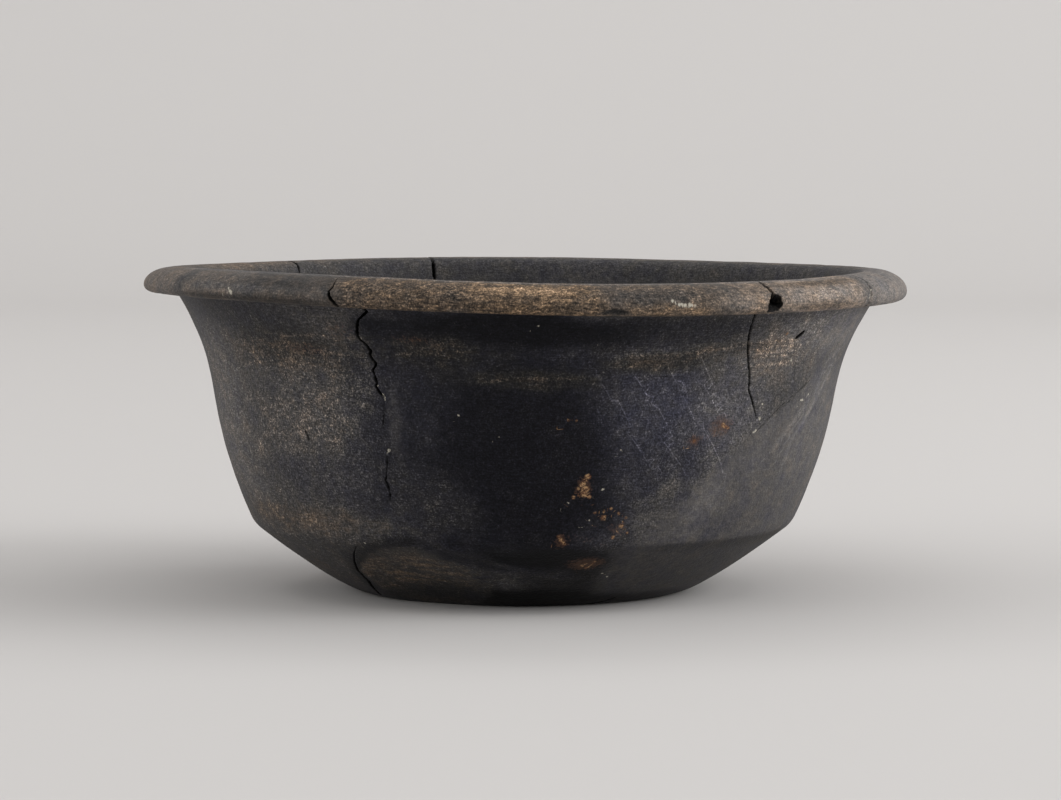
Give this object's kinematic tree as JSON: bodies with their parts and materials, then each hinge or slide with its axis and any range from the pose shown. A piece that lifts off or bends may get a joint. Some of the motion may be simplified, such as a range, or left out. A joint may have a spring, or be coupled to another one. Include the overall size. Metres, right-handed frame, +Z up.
{
  "type": "pottery bowl",
  "caption": "Wide dark pottery bowl with a heavy rolled rim, a flaring neck, a sharp turn above a small flat foot, and old cracks and a rim chip.",
  "frame": {"origin": "centre of the bounding box on the surface that the bowl stands on, under the centre of the rim", "axes": "+Z up; the open crack is on the front, towards -Y, left of the middle"},
  "size_m": [0.199, 0.199, 0.0853],
  "materials": {
    "fired_clay": "smoked black clay, worn burnish, tan wear on the rim"
  },
  "bodies": {
    "root": {"bowl": "fired_clay"}
  },
  "joints": []
}
